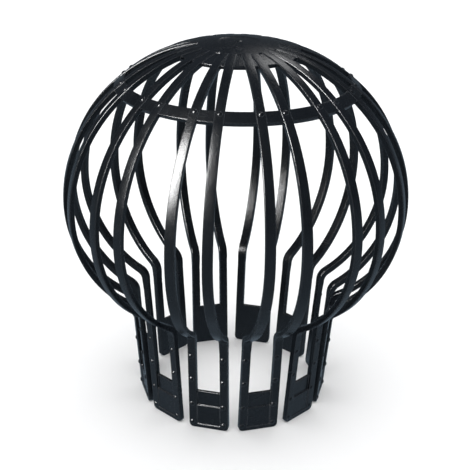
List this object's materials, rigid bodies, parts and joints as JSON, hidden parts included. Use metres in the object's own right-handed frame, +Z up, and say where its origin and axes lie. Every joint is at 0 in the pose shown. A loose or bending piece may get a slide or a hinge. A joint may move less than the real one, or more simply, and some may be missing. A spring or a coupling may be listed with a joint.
{
  "type": "downpipe leaf guard",
  "caption": "Black plastic balloon guard for a gutter outlet: paired curved ribs under a domed crown and tie ring, running down into sprung legs that push into the downpipe.",
  "frame": {"origin": "middle of the circle of leg ends, on the plane that they stand on", "axes": "+Z up the axis of the balloon, towards the crown; a gap between two legs faces -Y"},
  "size_m": [0.1442, 0.1442, 0.1597],
  "materials": {
    "plastic": "semi-gloss black polypropylene with a fine moulded grain"
  },
  "bodies": {
    "root": {"leaf_guard": "plastic"}
  },
  "joints": []
}
